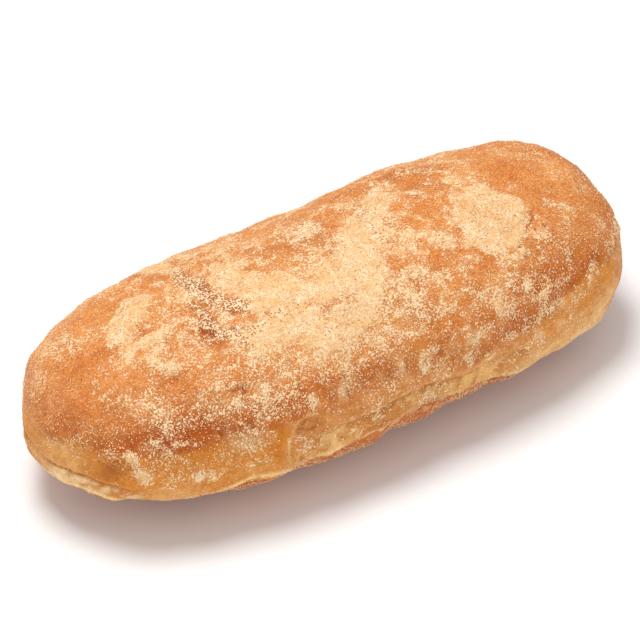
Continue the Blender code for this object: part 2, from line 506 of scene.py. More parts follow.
# where the thin dusting is heavier or lighter: X, girth angle, reach along, reach across, change
dustAreas = [
    (-82, 130, 12, 18, -0.22),
    (-70, 150, 14, 7, -0.16),
    (-62, 112, 8, 10, -0.10),
    (-76, 64, 7, 7, 0.30),
    (-58, 174, 12, 7, 0.20),
    (-68, 162, 8, 4, 0.08),
    (72, 170, 12, 8, -0.12),
    (-70, 84, 10, 6, -0.18),
    (-28, 132, 8, 5, 0.08),
    (-8, 136, 14, 6, 0.16),
    (12, 134, 12, 6, 0.12),
    (-40, 148, 7, 4, 0.18),
    (-2, 80, 8, 4, 0.10),
    (1, 70, 4, 3, -0.12),
    (38, 121, 8, 4, -0.06),
    (42, 139, 8, 5, -0.08),
    (26, 99, 5, 4, -0.18),
    (70, 100, 14, 18, -0.10),
    (66, 82, 12, 8, -0.12),
    (18, 57, 17, 7, -0.26),
    (10, 88, 8, 4, -0.12),
    (-46, 70, 6, 5, -0.22),
    (24, 150, 12, 4, -0.10),
    (-50, 156, 10, 4, -0.16),
    (-58, 164, 9, 4, -0.12),
    (-14, 46, 9, 5, -0.30),
    (-4, 41, 6, 4, -0.20),
    (52, 84, 6, 5, -0.20),
    (5, 84, 5, 3, -0.14),
    (-3, 157, 7, 3, -0.14),
    (-66, 97, 5, 4, 0.20),
    (-64, 128, 6, 9, 0.18),
    (25, 116, 6, 3.5, -0.20),
    (-72, 103, 4, 3, 0.14),
    (-80, 78, 5, 6, 0.16),
    (58, 128, 6, 5, 0.12),
    (60, 85, 6, 5, 0.08),
    (24, 150, 9, 4, -0.08),
    (81, 158, 5, 6, 0.24),
    (-80, 66, 6, 6, -0.28),
    (-70, 58, 5, 4, -0.15),
    (26, 53, 12, 5, -0.18),
    (-47, 49, 8, 5, -0.14),
    (-34, 135, 4, 3, -0.14),
    (69, 79, 7, 5, -0.10),
    (-14, 153, 5, 3, -0.12),
    (-46, 151, 5, 3, 0.14),
    (38, 118, 5, 4, -0.12),
    (-47, 116, 4, 3, -0.12),
    (55, 108, 4, 6, -0.12),
    (83, 120, 5, 8, -0.14),
    (81, 88, 5, 8, -0.14),
    (82, 110, 4, 7, -0.14),
    (16, 62, 5, 3, 0.26),
    (39, 150, 4, 3, 0.20),
    (-15, 66, 4, 3, 0.14),
    (-30, 153, 3, 3, 0.20),
    (-69, 164, 3, 3, 0.15),
    (-44, 77, 3, 3, -0.30),
]

powderSpread = {
    "perDegree": 0.5,  # millimetres round the girth for a degree, near enough
    "topGirth": 90.0,
    "warp": [(1.8, 7.0, 41), (1.1, 2.6, 57), (0.5, 1.2, 63)],  # reach, cell and seed of each wander
    "edge": 2.5,
    "ragged": 0.74,
    "thinner": 0.28,  # how much noise thins the inside of a patch
    "thinRange": (-0.1, 0.9),
    "waistKeeps": 0.60,  # the least share that stays on the waist
    "bellyLoss": 0.5,
    "pitLoss": 0.7,
    "unseen": 0.85,  # patches on the side that the photo hides
    "unseenRange": (0.45, 0.95),
    "unseenGirth": (-34.0, 6.0),  # minus the girth angle
    "unseenHeight": (26.0, 34.0),
    "coarseEdge": 1.4,
    "coarseCover": 0.50,
    "coarsePull": 0.65,
}

# a strip under the crumbs on the near flank that stays almost clean
cleanStrip = {
    "strokes": [(-36, 166, -36.5, 190, 2.2, 1.0)],
    "edge": 0.8,
    "loss": 0.95,
}

dusting = {
    "base": 0.17,
    "swing": 0.26,
    "limits": (0.03, 0.7),
    "evenStrip": (142.0, 16.0),  # girth angle and reach of a strip where it is more even
    "evenLoss": 0.5,
    "evenRise": 0.05,
    "lace": 0.40,  # a net of thin pale lines between the bare islands
    "laceLine": (0.02, 0.36),
    "laceFrom": (-58, -36),
    "laceTo": (44, 58),
    "laceLow": (142.0, 156.0),
    "laceLowLoss": 0.6,
    "laceEvenLoss": 0.4,
    "flank": 0.19,
    "flankStrip": (140.0, 16.0),
    "flankFrom": (20, 60),
}

hazeShape = {
    "top": 0.85,
    "fallLow": 0.60,
    "lowGirth": (134.0, 156.0),
    "swing": 0.38,
    "band": 0.22,  # on the waist
    "belly": 0.30,
    "fleck": 0.95,  # paler flecks on the left end's crust
    "fleckLoss": 0.14,
    "fleckRange": (0.05, 0.95),
    "fleckFrom": (56.0, 68.0),
    "fleckGirth": (-140.0, -124.0),  # minus the girth angle
    # less film where shade is painted, so that it stays dark
    "hollowShadeLoss": 0.7,
    "coarseLoss": 0.85,
}

# where that film is thicker or thinner: X, girth angle, reach along X, reach across, change
hazePatches = [
    (-60, 150, 18, 6, -0.25),
    (-38, 101, 5, 4, -0.45),
    (-34, 86, 6, 6, -0.15),
    (-36, 174, 3, 8, -0.20),
    (-84, 100, 8, 18, 0.12),
    (-68, 122, 12, 12, 0.04),
    (-82, 138, 6, 8, -0.25),
    (-78, 160, 8, 8, -0.15),
    (-58, 141, 16, 8, -0.20),
    (-66, 127, 7, 9, -0.15),
    (30, 118, 14, 8, -0.12),
]


def fromTop(girthDegrees):
    # millimetres round the girth from the top
    return powderSpread["perDegree"] * (girthDegrees - powderSpread["topGirth"])


def patternPlace(points, girthDegrees):
    # flattens the surface to (along, round the girth from the top), wandered by noise
    place = np.stack([points[:, 0], fromTop(girthDegrees)], axis=1)
    for reach, cell, seed in powderSpread["warp"]:
        for axis in range(2):
            place[:, axis] += reach * latticeNoise(points, cell, seed + axis)
    return place


def strokeCover(place, strokes, edge):
    # the strongest of the strokes at each point, each a capsule with a soft edge
    cover = np.zeros(len(place))
    for x1, girth1, x2, girth2, half, strength in strokes:
        start = np.array([x1, fromTop(girth1)])
        run = np.array([x2, fromTop(girth2)]) - start
        share = np.clip((place - start) @ run / (run @ run), 0.0, 1.0)
        gap = np.linalg.norm(place - start - share[:, None] * run, axis=1)
        cover = np.maximum(cover, strength * (1.0 - smoothStep(gap, half - edge, half + edge)))
    return cover


# Zones of the skin

# upright wrinkles where the near flank was squeezed
wrinkles = {
    "height": 0.30,
    "girth": (159.0, 10.0),
    "from": (-33, -24),
    "to": (22, 38),
    "near": (0.0, 10.0),
    "powder": 0.50,  # more powder on the ridges, less between them
    "powderRange": (-0.1, 1.0),
    "bare": 0.5,
    "bareRange": (0.1, 0.8),
    "pale": 0.8,
    "paleRange": (0.0, 0.8),
    # painted shade in the grooves between the ridges
    "dark": 0.45,
    "darkRange": (0.30, 1.0),
}


def flankWrinkles(points, girthDegrees):
    # where the flank is squeezed, and noise there that is short along X and long in Z
    squeezed = bell(girthDegrees, *wrinkles["girth"]) * smoothStep(points[:, 0], *wrinkles["from"])
    squeezed *= 1.0 - smoothStep(points[:, 0], *wrinkles["to"])
    squeezed *= smoothStep(-points[:, 1], *wrinkles["near"])
    return squeezed, noiseOf(points, "wrinkle")


def skinZones(points, girthDegrees):
    # the heights of the waist's lower and upper edge, and how far each point belongs to the
    # underside, the waist, the skin below its two near folds and the squeezed flank, from 0 to 1
    x, z = points[:, 0], points[:, 2]
    ragged = waistBand["lipRagged"] * noiseOf(points, "lipEdge")
    soft, edge = waistBand["lipSoftness"], waistBand["softness"]
    seam, top = seamLevel(points), bandTop(points)
    belly = smoothStep(seam + ragged - z, -soft, soft)
    band = smoothStep(top - z, -edge, edge) * (1.0 - belly)

    def below(path, reach):  # 1 under the fold and within the waist
        return smoothStep(foldLevel(x, path) - z, *reach) * (foldPresence(points, path) * band)
    squeezed, wrinkle = flankWrinkles(points, girthDegrees)
    return {
        "girth": girthDegrees,
        "place": patternPlace(points, girthDegrees),
        "seam": seam,
        "top": top,
        "belly": belly,
        "band": band,
        "fold": below(foldPaths[0], waistBand["underFold"]),
        "roll": below(foldPaths[1], waistBand["underRoll"]),
        "squeezed": squeezed,
        "wrinkle": wrinkle,
    }


# How much powder lies at each point

def dustingShare(points, girthDegrees):
    # patchy noise, plus pale lines where a second noise crosses zero, plus the flank and the
    # named areas
    x = points[:, 0]
    even = bell(girthDegrees, *dusting["evenStrip"])
    patchy = noiseOf(points, "dusting") * (1.0 - dusting["evenLoss"] * even)
    share = dusting["base"] + dusting["swing"] * patchy
    lace = 1.0 - smoothStep(np.abs(noiseOf(points, "lace")), *dusting["laceLine"])
    lace *= smoothStep(x, *dusting["laceFrom"]) * (1.0 - smoothStep(x, *dusting["laceTo"]))
    low = smoothStep(girthDegrees, *dusting["laceLow"])
    lace *= (1.0 - dusting["laceLowLoss"] * low) * (1.0 - dusting["laceEvenLoss"] * even)
    share += dusting["lace"] * lace + dusting["evenRise"] * even
    flank = bell(girthDegrees, *dusting["flankStrip"])
    share += dusting["flank"] * flank * smoothStep(-x, *dusting["flankFrom"])
    return np.clip(addPatches(share, points, dustAreas), *dusting["limits"])


def unseenPatches(points, girthDegrees):
    # the highest parts of a slow noise, only on the upper half of the side that the photo hides
    share = powderSpread["unseen"] * smoothStep(noiseOf(points, "unseenPatches"),
                                                *powderSpread["unseenRange"])
    return share * (smoothStep(-girthDegrees, *powderSpread["unseenGirth"])
                    * smoothStep(points[:, 2], *powderSpread["unseenHeight"]))


def powderCover(points, zones):
    # Strokes less islands, broken up at their edges by noise, or the dusting where that is more.
    # Then less on the waist, more on the wrinkles' ridges and less between them, and less on the
    # underside and in the clean strip.
    strokes = strokeCover(zones["place"], powderStrokes, powderSpread["edge"])
    cover = strokes * (1.0 - strokeCover(zones["place"], crustIslands, powderSpread["edge"]))
    edge = 4.0 * cover * (1.0 - cover)
    cover += powderSpread["ragged"] * edge * noiseOf(points, "patchEdge")
    thin = smoothStep(noiseOf(points, "thinning"), *powderSpread["thinRange"])
    cover *= 1.0 - powderSpread["thinner"] * thin
    cover = np.maximum(cover, unseenPatches(points, zones["girth"]))
    cover = np.maximum(cover, dustingShare(points, zones["girth"]))
    kept = np.clip(strokes + powderSpread["waistKeeps"], 0.0, 1.0)
    cover *= 1.0 - zones["band"] * (1.0 - kept)
    squeezed, wrinkle = zones["squeezed"], zones["wrinkle"]
    ridges = wrinkles["powder"] * squeezed * smoothStep(wrinkle, *wrinkles["powderRange"])
    cover = np.maximum(cover, ridges)
    cover *= 1.0 - wrinkles["bare"] * squeezed * smoothStep(-wrinkle, *wrinkles["bareRange"])
    cover *= 1.0 - powderSpread["bellyLoss"] * zones["belly"]
    clean = strokeCover(zones["place"], cleanStrip["strokes"], cleanStrip["edge"])
    return np.clip(cover * (1.0 - cleanStrip["loss"] * clean), 0.0, 1.0)


def hazeShare(points, zones, detail):
    # the film of flour too fine to be grains: fullest on top, thin on the waist and the underside,
    # gone in the pits and thinner where shade is painted in the hollows
    # less film low on the flank, where flour settles less; this also paints the lower flank darker, as
    # shade
    low = smoothStep(zones["girth"], *hazeShape["lowGirth"])
    haze = hazeShape["top"] - hazeShape["fallLow"] * low
    haze += hazeShape["swing"] * noiseOf(points, "haze")
    leftEnd = smoothStep(-points[:, 0], *hazeShape["fleckFrom"])
    leftEnd *= smoothStep(-zones["girth"], *hazeShape["fleckGirth"])
    fleck = smoothStep(noiseOf(points, "fleck"), *hazeShape["fleckRange"])
    haze += leftEnd * (hazeShape["fleck"] * fleck - hazeShape["fleckLoss"])
    for zone in ("band", "belly"):
        haze = haze * (1.0 - zones[zone]) + hazeShape[zone] * zones[zone]
    haze = np.clip(addPatches(haze, points, hazePatches), 0.0, 1.0)
    return haze * (1.0 - detail["pits"]) * (1.0 - hazeShape["hollowShadeLoss"] * detail["hollows"])


# Colours of the fried dough, as the eye reads them on screen

doughColours = {
    "crust": (207, 117, 42),
    "crustPale": (218, 136, 58),
    "crustDeep": (188, 96, 26),
    "rim": (168, 76, 22),
    "rosy": (212, 138, 92),
    "amber": (216, 138, 44),
    "tan": (214, 144, 78),
    "tanLight": (226, 166, 106),
    "golden": (226, 150, 62),
    "cream": (240, 194, 122),
    "creamLight": (252, 220, 158),
    "rollPale": (248, 224, 172),
    "creamDull": (206, 138, 66),
    # painted shade: the dark line in each fold's cut
    "creaseShade": (146, 76, 24),
    "belly": (200, 116, 62),
    "bellyDark": (156, 76, 32),
    "bellyPale": (232, 170, 116),
    # flour painted darker as shade, for the crumbs low on the near flank
    "flourInShade": (214, 168, 116),
    "streak": (240, 194, 144),
    # painted shade in the pits and the cracks
    "pitShade": (186, 102, 42),
    # painted shade in hollows: wrinkle grooves, the bowl, under the near fold and beside the flake
    "hollow": (166, 92, 36),
}

# soft-edged patches of tone: X, girth angle, reach along X, reach across, colour, strength
tonePatches = [
    (-82, 130, 12, 20, "crustDeep", 0.75),
    (83, 104, 7, 18, "crustDeep", 0.50),
    (81, 81, 4, 8, "crustDeep", 0.50),
    (-60, 152, 20, 5, "rim", 0.75),
    (-33, 84, 6, 5, "rim", 0.40),
    (-40, 102, 3.5, 5, "rim", 0.45),
    (66, 104, 16, 16, "crustPale", 0.22),
    (-2, 168, 20, 3.5, "tan", 0.6),
    # painted shade on the flour crumbs
    (-44, 167, 4.5, 3.0, "flourInShade", 0.9),
    (60, 146, 20, 7, "crustDeep", 0.25),
    (8, 165, 20, 6, "tanLight", 0.45),
    (14, 163, 16, 5, "amber", 0.28),
    (-81, 92, 5, 9, "rosy", 0.5),
    (-70, 112, 7, 6, "crustPale", 0.45),
    (-56, 132, 9, 4, "crustDeep", 0.45),
]

# the same on the waist only
waistPatches = [
    (-84, 163, 7, 7, "cream", 0.70),
    # painted shade on the flour crumbs
    (-44, 167, 4.5, 3.0, "flourInShade", 0.9),
    (-42, 186, 10, 2, "cream", 0.35),
    (69, 187, 9, 3.5, "creamLight", 0.60),
    (57, 183, 8, 3, "cream", 0.40),
    (81, 176, 5, 5, "amber", 0.60),
    (60, 172, 8, 4, "amber", 0.35),
    (-44, 198, 6, 4, "creamDull", 0.35),
    # painted shadow beside the raised flake on the left end
    (-75, 168, 3.5, 3.5, "hollow", 0.55),
    (8, 185, 7, 3.0, "creamDull", 0.85),
    # painted shade
    (7, 186, 7, 3.0, "hollow", 0.55),
    (45, 193, 12, 3.0, "creamLight", 0.60),
    (62, 197, 13, 3.5, "creamLight", 0.80),
    (25, 197, 8, 3.6, "creamDull", 0.75),
    (24, 174, 7, 3.2, "cream", 0.80),
    (-29, 192, 4, 3, "cream", 0.70),
    (-61, 203, 9, 5, "creamLight", 0.50),
    # painted shade
    (-77, 177, 6, 3, "hollow", 0.55),
]

# from, to and strength of what brings in each tone
toneSteps = {
    "crustPale": (0.1, 1.0, 0.7),
    "crustDeep": (0.05, 0.9, 0.7),
    "rim": (0.0, 0.9, 0.45),
    "tan": (-36.0, -30.0, 1.0),
    "golden": (34.0, 48.0, 1.0),
    "streaksFrom": (26.0, 44.0, 1.0),
    "streakPale": (0.10, 0.75, 0.55),
    "streakDull": (0.15, 0.80, 0.60),
    "lowPart": (4.0, 13.0, 0.75),
    "lowFrom": (20.0, 50.0, 1.0),
    "dullSpots": (0.1, 0.9, 0.35),
    "foldCream": (-0.1, 0.8, 1.0),
    # spots of painted shade just under the near fold
    "foldShade": (0.1, 0.8, 0.4),
    "roll": (-1.0, 0.4, 1.0),
    "bellyDark": (-0.2, 1.0, 1.0),
    "bellySpots": (0.0, 0.8, 0.6),
    "bellyPale": (0.25, 0.8, 1.0),
}

toneShape = {
    "rim": (2.4, 3.4),  # height above the waist's upper edge, and reach
    "wander": 3.0,
    "slant": 0.7,
    "lip": (0.9, 0.6),  # height above the underside's edge, and reach
    "lipStrength": 0.95,
    "lipFade": 0.85,
    "lipFadeAt": (14.0, 14.0),
}


def toneStep(value, kind):
    # 0 below the step's from, its strength above its to
    low, high, strength = toneSteps[kind]
    return strength * smoothStep(value, low, high)


def lay(tone, name, share):
    # one of the dough's colours over tone, by a share
    return mixColour(tone, screenColour(*doughColours[name]), np.clip(share, 0.0, 1.0))


def layPatches(tone, points, rows):
    # a soft-edged patch of colour for each row, one over another
    for place, angle, reachAlong, reachAcross, name, strength in rows:
        tone = lay(tone, name, strength * patchShare(points, place, angle, reachAlong, reachAcross))
    return tone


def waistTone(points, zones, mottle, fine):
    # amber to the left, tan over the fold, golden to the right with slanting streaks, duller lower
    # down, and cream just below the two near folds, with darker spots of painted shade under the
    # first
    x, z = points[:, 0], points[:, 2]
    along = x + toneShape["wander"] * fine
    amber = np.ones((len(points), 1)) * screenColour(*doughColours["amber"])
    waist = lay(amber, "tan", toneStep(along, "tan"))
    waist = lay(waist, "golden", toneStep(along, "golden") + farShare(points))
    slant = points + np.outer(z, (toneShape["slant"], 0.0, 0.0))
    streaky = noiseOf(slant, "waistStreaks") * toneStep(x, "streaksFrom")
    waist = lay(waist, "streak", toneStep(streaky, "streakPale"))
    waist = lay(waist, "creamDull", toneStep(-streaky, "streakDull"))
    low = toneStep(zones["top"] - z + 2.0 * fine, "lowPart") * toneStep(along, "lowFrom")
    waist = lay(waist, "creamDull", low + toneStep(fine, "dullSpots"))
    waist = lay(waist, "creamDull", zones["fold"])
    waist = lay(waist, "cream", zones["fold"] * toneStep(fine + mottle, "foldCream"))
    waist = lay(waist, "hollow", zones["fold"] * toneStep(-fine - 0.5 * mottle, "foldShade"))
    waist = lay(waist, "creamDull", zones["roll"])
    waist = lay(waist, "rollPale", zones["roll"] * toneStep(fine + 0.5 * mottle, "roll"))
    return layPatches(waist, points, waistPatches)


def underTone(points, mottle, fine):
    # the browned underside, with darker and paler spots
    brown = np.ones((len(points), 1)) * screenColour(*doughColours["belly"])
    under = lay(brown, "bellyDark", toneStep(mottle + 0.5 * fine, "bellyDark"))
    under = lay(under, "bellyDark", toneStep(noiseOf(points, "bellyDark"), "bellySpots"))
    return lay(under, "bellyPale", toneStep(noiseOf(points, "bellyPale"), "bellyPale"))


def doughTone(points, zones, detail):
    # crust, then the waist, then the underside, the pale line of the lip, and the fine detail with its
    # painted shade
    x, z = points[:, 0], points[:, 2]
    mottle, fine = noiseOf(points, "mottle"), noiseOf(points, "fine")
    crust = np.ones((len(points), 1)) * screenColour(*doughColours["crust"])
    tone = lay(crust, "crustPale", toneStep(mottle, "crustPale"))
    tone = lay(tone, "crustDeep", toneStep(-mottle - 0.4 * fine, "crustDeep"))
    tone = layPatches(tone, points, tonePatches)
    rise, reach = toneShape["rim"]
    tone = lay(tone, "rim", bell(z, zones["top"] + rise, reach) * toneStep(mottle + 0.5, "rim"))
    tone = mixColour(tone, waistTone(points, zones, mottle, fine), zones["band"])
    tone = mixColour(tone, underTone(points, mottle, fine), zones["belly"])
    rise, reach = toneShape["lip"]
    lipLine = bell(z, zones["seam"] + rise, reach) * (1.0 - zones["belly"])
    lipLine *= 1.0 - toneShape["lipFade"] * bell(x, *toneShape["lipFadeAt"])
    tone = lay(tone, "creamLight", toneShape["lipStrength"] * lipLine)
    # painted shade in the hollows, creases, pits and cracks; pale streaks on the wrinkles' ridges and
    # pale raised edges
    for name, part in (("hollow", "hollows"), ("streak", "streaks"), ("cream", "edges"),
                       ("creaseShade", "creases"), ("pitShade", "pits")):
        tone = lay(tone, name, detail[part])
    return tone


# Fine relief of the skin

# small pits: X, girth angle, radius, depth
skinPits = [
    (-42.3, 138.2, 0.9, 0.45),
    (-40.8, 139.6, 1.0, 0.5),
    (-39.6, 138.4, 0.7, 0.5),
    (-41.2, 161, 0.8, 0.6),
    (-39.9, 162.5, 0.6, 0.5),
    (-50, 160, 0.7, 0.5),
    (-51.5, 158.4, 0.6, 0.4),
    (-41.4, 104, 1.1, 0.4),
    (-40.2, 107.2, 1.0, 0.5),
    (-39.0, 103, 0.8, 0.4),
    (-24.6, 108.4, 0.8, 0.5),
    (-11.6, 116.2, 0.7, 0.5),
    (-21.6, 95.2, 0.6, 0.4),
    (46.6, 127.1, 0.8, 0.6),
    (46.9, 132.4, 0.8, 0.6),
    (50.0, 124.5, 0.6, 0.5),
    (54.1, 121.9, 0.6, 0.35),
    (56.6, 121.1, 0.5, 0.3),
]

pitShape = {
    "warp": 0.8,
    "rim": 0.25,  # its height as a share of the depth
    "rimAt": (1.5, 0.4),  # in radii, and how wide
    "inside": (0.5, 1.2),
}

# heights along the surface's normal, and between which values each part fades in
skinRelief = {
    "powderThickness": 0.28,
    "powderEdge": (0.35, 0.95),
    "powderGrain": 0.13,
    "crustGrain": 0.13,
    "undulation": 0.26,
    "clumpHeight": 0.55,
    "clumpEdge": 0.7,
    "lumpSwing": 0.6,
    "crackDepth": 0.5,
    "crackEdge": 0.3,
    # how strongly the cracks take the pits' painted shade
    "crackShade": 0.8,
    "baseFade": (1.5, 4.0),
}

creaseShape = {
    # how sharply each fold is cut, and how strongly its line is painted dark as shade
    "cuts": [(0.15, 0.50), (0.22, 0.60), (0.15, 0.35), (0.0, 0.0), (0.0, 0.0), (0.25, 0.70)],
    "wander": 0.5,
    "cutAt": (-0.2, 0.42),  # height above the fold's line, and half width
    "edgeAt": (0.9, 0.6),
    "edgeHeight": 0.8,  # against the cut's depth
    "edgeTone": 0.5,
}

# a shallow bowl in the near flank, whose left and upper edge is a sharp pale rim, with painted shade
# inside it
bowl = {
    "x": -26.6,
    "z": 21.5,
    "reachAlong": 6.1,
    "reachUp": 8.6,
    "depth": 0.75,
    "ragged": 0.07,
    "openTo": (-28.0, -20.0),
    "near": (5.0, 15.0),
    "inside": (0.84, 1.04),
    "rim": (1.03, 0.045),  # in reaches, and how wide
    "rimHeight": 0.3,
    "rimFrom": (13.0, 16.0),
    # how strongly the bowl's inside is painted dark as shade
    "tone": 0.7,
    "shadeSlope": 0.08,  # painted shade: darker to the right of the X below, lighter to its left
    "shadeX": -27,
    "shadeRange": (-0.2, 0.6),
}

# loose lumps of flour: strokes as for the powder
clumpStrokes = [
    (-47, 161, -42, 169, 2.2, 1.0),
    (-44, 170, -41.5, 174, 1.4, 0.8),
    (-75, 156, -71, 166, 1.0, 0.7),
    (-71, 166, -69, 178, 0.9, 0.6),
    (-56, 180, -54, 182, 1.2, 0.6),
    (-52, 129, -49, 132, 1.2, 0.5),
]

# fine cracks in the right patch of powder: strokes too
crackStrokes = [
    (56.2, 111, 51.4, 119.2, 0.35, 0.9),
    (51.4, 119.2, 47.8, 122.2, 0.3, 0.8),
]


def pitDepth(points):
    # round dimples with a slight rim, and how far in a point is
    depth, inside = np.zeros(len(points)), np.zeros(len(points))
    warp = [noiseOf(points, "pitWarp", axis) for axis in range(3)]
    warped = points + pitShape["warp"] * np.stack(warp, axis=1)
    for x, angle, radius, deep in skinPits:
        gap = np.linalg.norm(warped - centreOn(x, angle), axis=1) / radius
        depth += pitShape["rim"] * deep * bell(gap, *pitShape["rimAt"]) - deep * np.exp(-(gap**4))
        inside = np.maximum(inside, 1.0 - smoothStep(gap, *pitShape["inside"]))
    return depth, inside


def creaseRelief(points):
    # each fold gets a narrow cut, painted dark as shade, with a thin raised edge above it
    x, z = points[:, 0], points[:, 2]
    height, creases, edges = (np.zeros(len(points)) for _ in range(3))
    wander = creaseShape["wander"] * noiseOf(points, "creaseWander")
    for path, (sharp, strong) in zip(foldPaths, creaseShape["cuts"]):
        above = z - foldLevel(x, path) - wander
        present = foldPresence(points, path)
        cut = bell(above, *creaseShape["cutAt"]) * present
        edge = bell(above, *creaseShape["edgeAt"]) * present
        height += sharp * (creaseShape["edgeHeight"] * edge - cut)
        creases = np.maximum(creases, strong * cut)
        edges = np.maximum(edges, strong * edge)
    return height, creases, edges


def bowlRelief(points):
    # an ellipse seen from the near side: down inside it and painted with shade there, open to the
    # right, pale on its rim
    x, y, z = points.T
    gap = np.hypot((x - bowl["x"]) / bowl["reachAlong"], (z - bowl["z"]) / bowl["reachUp"])
    gap += bowl["ragged"] * noiseOf(points, "bowlEdge")
    closed = (1.0 - smoothStep(x, *bowl["openTo"])) * smoothStep(-y, *bowl["near"])
    inside = (1.0 - smoothStep(gap, *bowl["inside"])) * closed
    rim = bell(gap, *bowl["rim"]) * closed * smoothStep(z, *bowl["rimFrom"])
    mottle = noiseOf(points, "bowlMottle") + bowl["shadeSlope"] * (x - bowl["shadeX"])
    shade = bowl["tone"] * inside * smoothStep(mottle, *bowl["shadeRange"])
    return bowl["rimHeight"] * rim - bowl["depth"] * inside, shade, rim


def fineRelief(points, zones, cover):
    # Powder thickness and grain, crust grain, pits, wrinkles, creases, the bowl, lumps and cracks,
    # all along the surface's normal; and how strongly each of them is coloured, with painted shade in
    # the pits, cracks, creases, wrinkle grooves and bowl.
    height = skinRelief["powderThickness"] * smoothStep(cover, *skinRelief["powderEdge"])
    height += skinRelief["powderGrain"] * cover * noiseOf(points, "powderGrain")
    for part in ("crustGrain", "undulation"):
        height += skinRelief[part] * noiseOf(points, part)
    pits, inPits = pitDepth(points)
    squeezed, wrinkle = zones["squeezed"], zones["wrinkle"]
    cuts, creases, edges = creaseRelief(points)
    sunk, shade, rim = bowlRelief(points)
    height += pits + wrinkles["height"] * squeezed * wrinkle + cuts + sunk
    clump = strokeCover(zones["place"], clumpStrokes, skinRelief["clumpEdge"])
    crack = strokeCover(zones["place"], crackStrokes, skinRelief["crackEdge"])
    lump = skinRelief["lumpSwing"] * (1.0 + noiseOf(points, "lumps"))
    height += skinRelief["clumpHeight"] * clump * lump - skinRelief["crackDepth"] * crack
    # painted shade in the grooves between the wrinkles
    dark = wrinkles["dark"] * squeezed * smoothStep(-wrinkle, *wrinkles["darkRange"])
    detail = {
        "pits": np.maximum(inPits, skinRelief["crackShade"] * crack),
        "streaks": wrinkles["pale"] * squeezed * smoothStep(wrinkle, *wrinkles["paleRange"]),
        "hollows": np.maximum(dark, shade),
        "creases": creases,
        "edges": np.maximum(creaseShape["edgeTone"] * edges, rim),
    }
    return height, detail


# The skin's mesh: rings across the length by columns round the girth, closed at both tips

skinMesh = {
    "rings": 340,
    "columns": 290,
    "crowding": 0.38,  # columns lie closer together round the side that the photo shows
    "crowdedAt": 112.0,
    "samples": 4000,  # steps used to measure along the outline and round the girth
    "tipGap": (0.5, 3.0),
}


def evenStations(count):
    # places along the length from -1 to 1, evenly spaced along the outline in plan
    along = -np.cos(np.linspace(0.0, math.pi, skinMesh["samples"]))
    outline = np.stack([bunForm["length"] / 2 * along,
                        bunForm["width"] / 2 * taper(along, bunForm["planPower"])], axis=1)
    run = np.concatenate([[0.0], np.cumsum(np.linalg.norm(np.diff(outline, axis=0), axis=1))])
    return np.interp(np.linspace(0.0, run[-1], count + 1), run, along)


def crowdedGirths(count):
    # girth angles as dense as 1 plus crowding times the cosine of the angle from the crowded side
    crowdedAt = math.radians(skinMesh["crowdedAt"])
    turn = np.linspace(-math.pi / 2, 1.5 * math.pi, skinMesh["samples"])
    run = turn + skinMesh["crowding"] * np.sin(turn - crowdedAt)
    return np.interp(np.linspace(run[0], run[-1], count, endpoint=False), run, turn)


def gridNormals(grid):
    # the cross product of the steps along the length and round the girth
    along = np.gradient(grid, axis=0)
    around = np.roll(grid, -1, axis=1) - np.roll(grid, 1, axis=1)
    normals = np.cross(along, around)
    length = np.linalg.norm(normals, axis=2, keepdims=True)
    return normals / np.maximum(length, 1e-9)


def outwardNormals(form, smooth, shape):
    # the grid's normals, turned to point outwards; at the tips, straight away from the core
    normals = gridNormals(form.reshape(shape)).reshape(-1, 3)
    outside = awayFromCore(smooth)
    normals = np.where(np.sum(normals * outside, axis=1, keepdims=True) < 0, -normals, normals)
    tipGap = np.hypot(smooth[:, 1], smooth[:, 2] - waistHeight)
    tip = smoothStep(tipGap, *skinMesh["tipGap"])[:, None]
    normals = normals * tip + outside * (1.0 - tip)
    return normals / np.linalg.norm(normals, axis=1, keepdims=True)


def makeSkinGrid():
    # the main form on a grid, its zones and its powder, then the fine relief along the normals;
    # last the base is pressed flat and the form's middle is moved over the origin
    along, girth = np.meshgrid(evenStations(skinMesh["rings"]), crowdedGirths(skinMesh["columns"]),
                               indexing="ij")
    shape = along.shape + (3,)
    smooth = plainBun(along.ravel(), girth.ravel())
    form = mainForm(smooth)
    normals = outwardNormals(form, smooth, shape)
    print("main form made,", len(form), "points")

    zones = skinZones(smooth, np.degrees(girth.ravel()))
    cover = powderCover(smooth, zones)
    coarse = strokeCover(zones["place"], coarsePatches, powderSpread["coarseEdge"])
    cover += (powderSpread["coarseCover"] - cover) * powderSpread["coarsePull"] * coarse**2
    print("powder laid")

    relief, detail = fineRelief(smooth, zones, cover)
    points = form + normals * (relief * smoothStep(form[:, 2], *skinRelief["baseFade"]))[:, None]
    points[:, 2] = np.maximum(points[:, 2] - bunForm["basePress"], 0.0)
    points[:, :2] -= (form[:, :2].min(axis=0) + form[:, :2].max(axis=0)) / 2
    haze = hazeShare(smooth, zones, detail) * (1.0 - hazeShape["coarseLoss"] * coarse**2)
    cover *= 1.0 - powderSpread["pitLoss"] * detail["pits"]
    return {"points": points.reshape(shape), "normals": normals.reshape(shape), "powder": cover,
            "coarse": coarse, "haze": haze, "doughToneAndShade": doughTone(smooth, zones, detail),
            "band": zones["band"]}


def addAttribute(mesh, name, values):
    # one number, or one colour, for each of the mesh's points
    if values.ndim == 1:
        numbers = mesh.attributes.new(name, "FLOAT", "POINT")
        numbers.data.foreach_set("value", values.astype(np.float32))
        return
    rgba = np.concatenate([values, np.ones((len(values), 1))], axis=1).astype(np.float32)
    mesh.attributes.new(name, "FLOAT_COLOR", "POINT").data.foreach_set("color", rgba.ravel())


def meshObject(name, vertices, faces, material):
    # a mesh from vertices in millimetres, put in the scene
    mesh = bpy.data.meshes.new(name)
    mesh.from_pydata(vertices * mm, [], faces)
    mesh.update()
    mesh.shade_smooth()
    mesh.materials.append(material)
    piece = bpy.data.objects.new(name, mesh)
    bpy.context.scene.collection.objects.link(piece)
    return piece


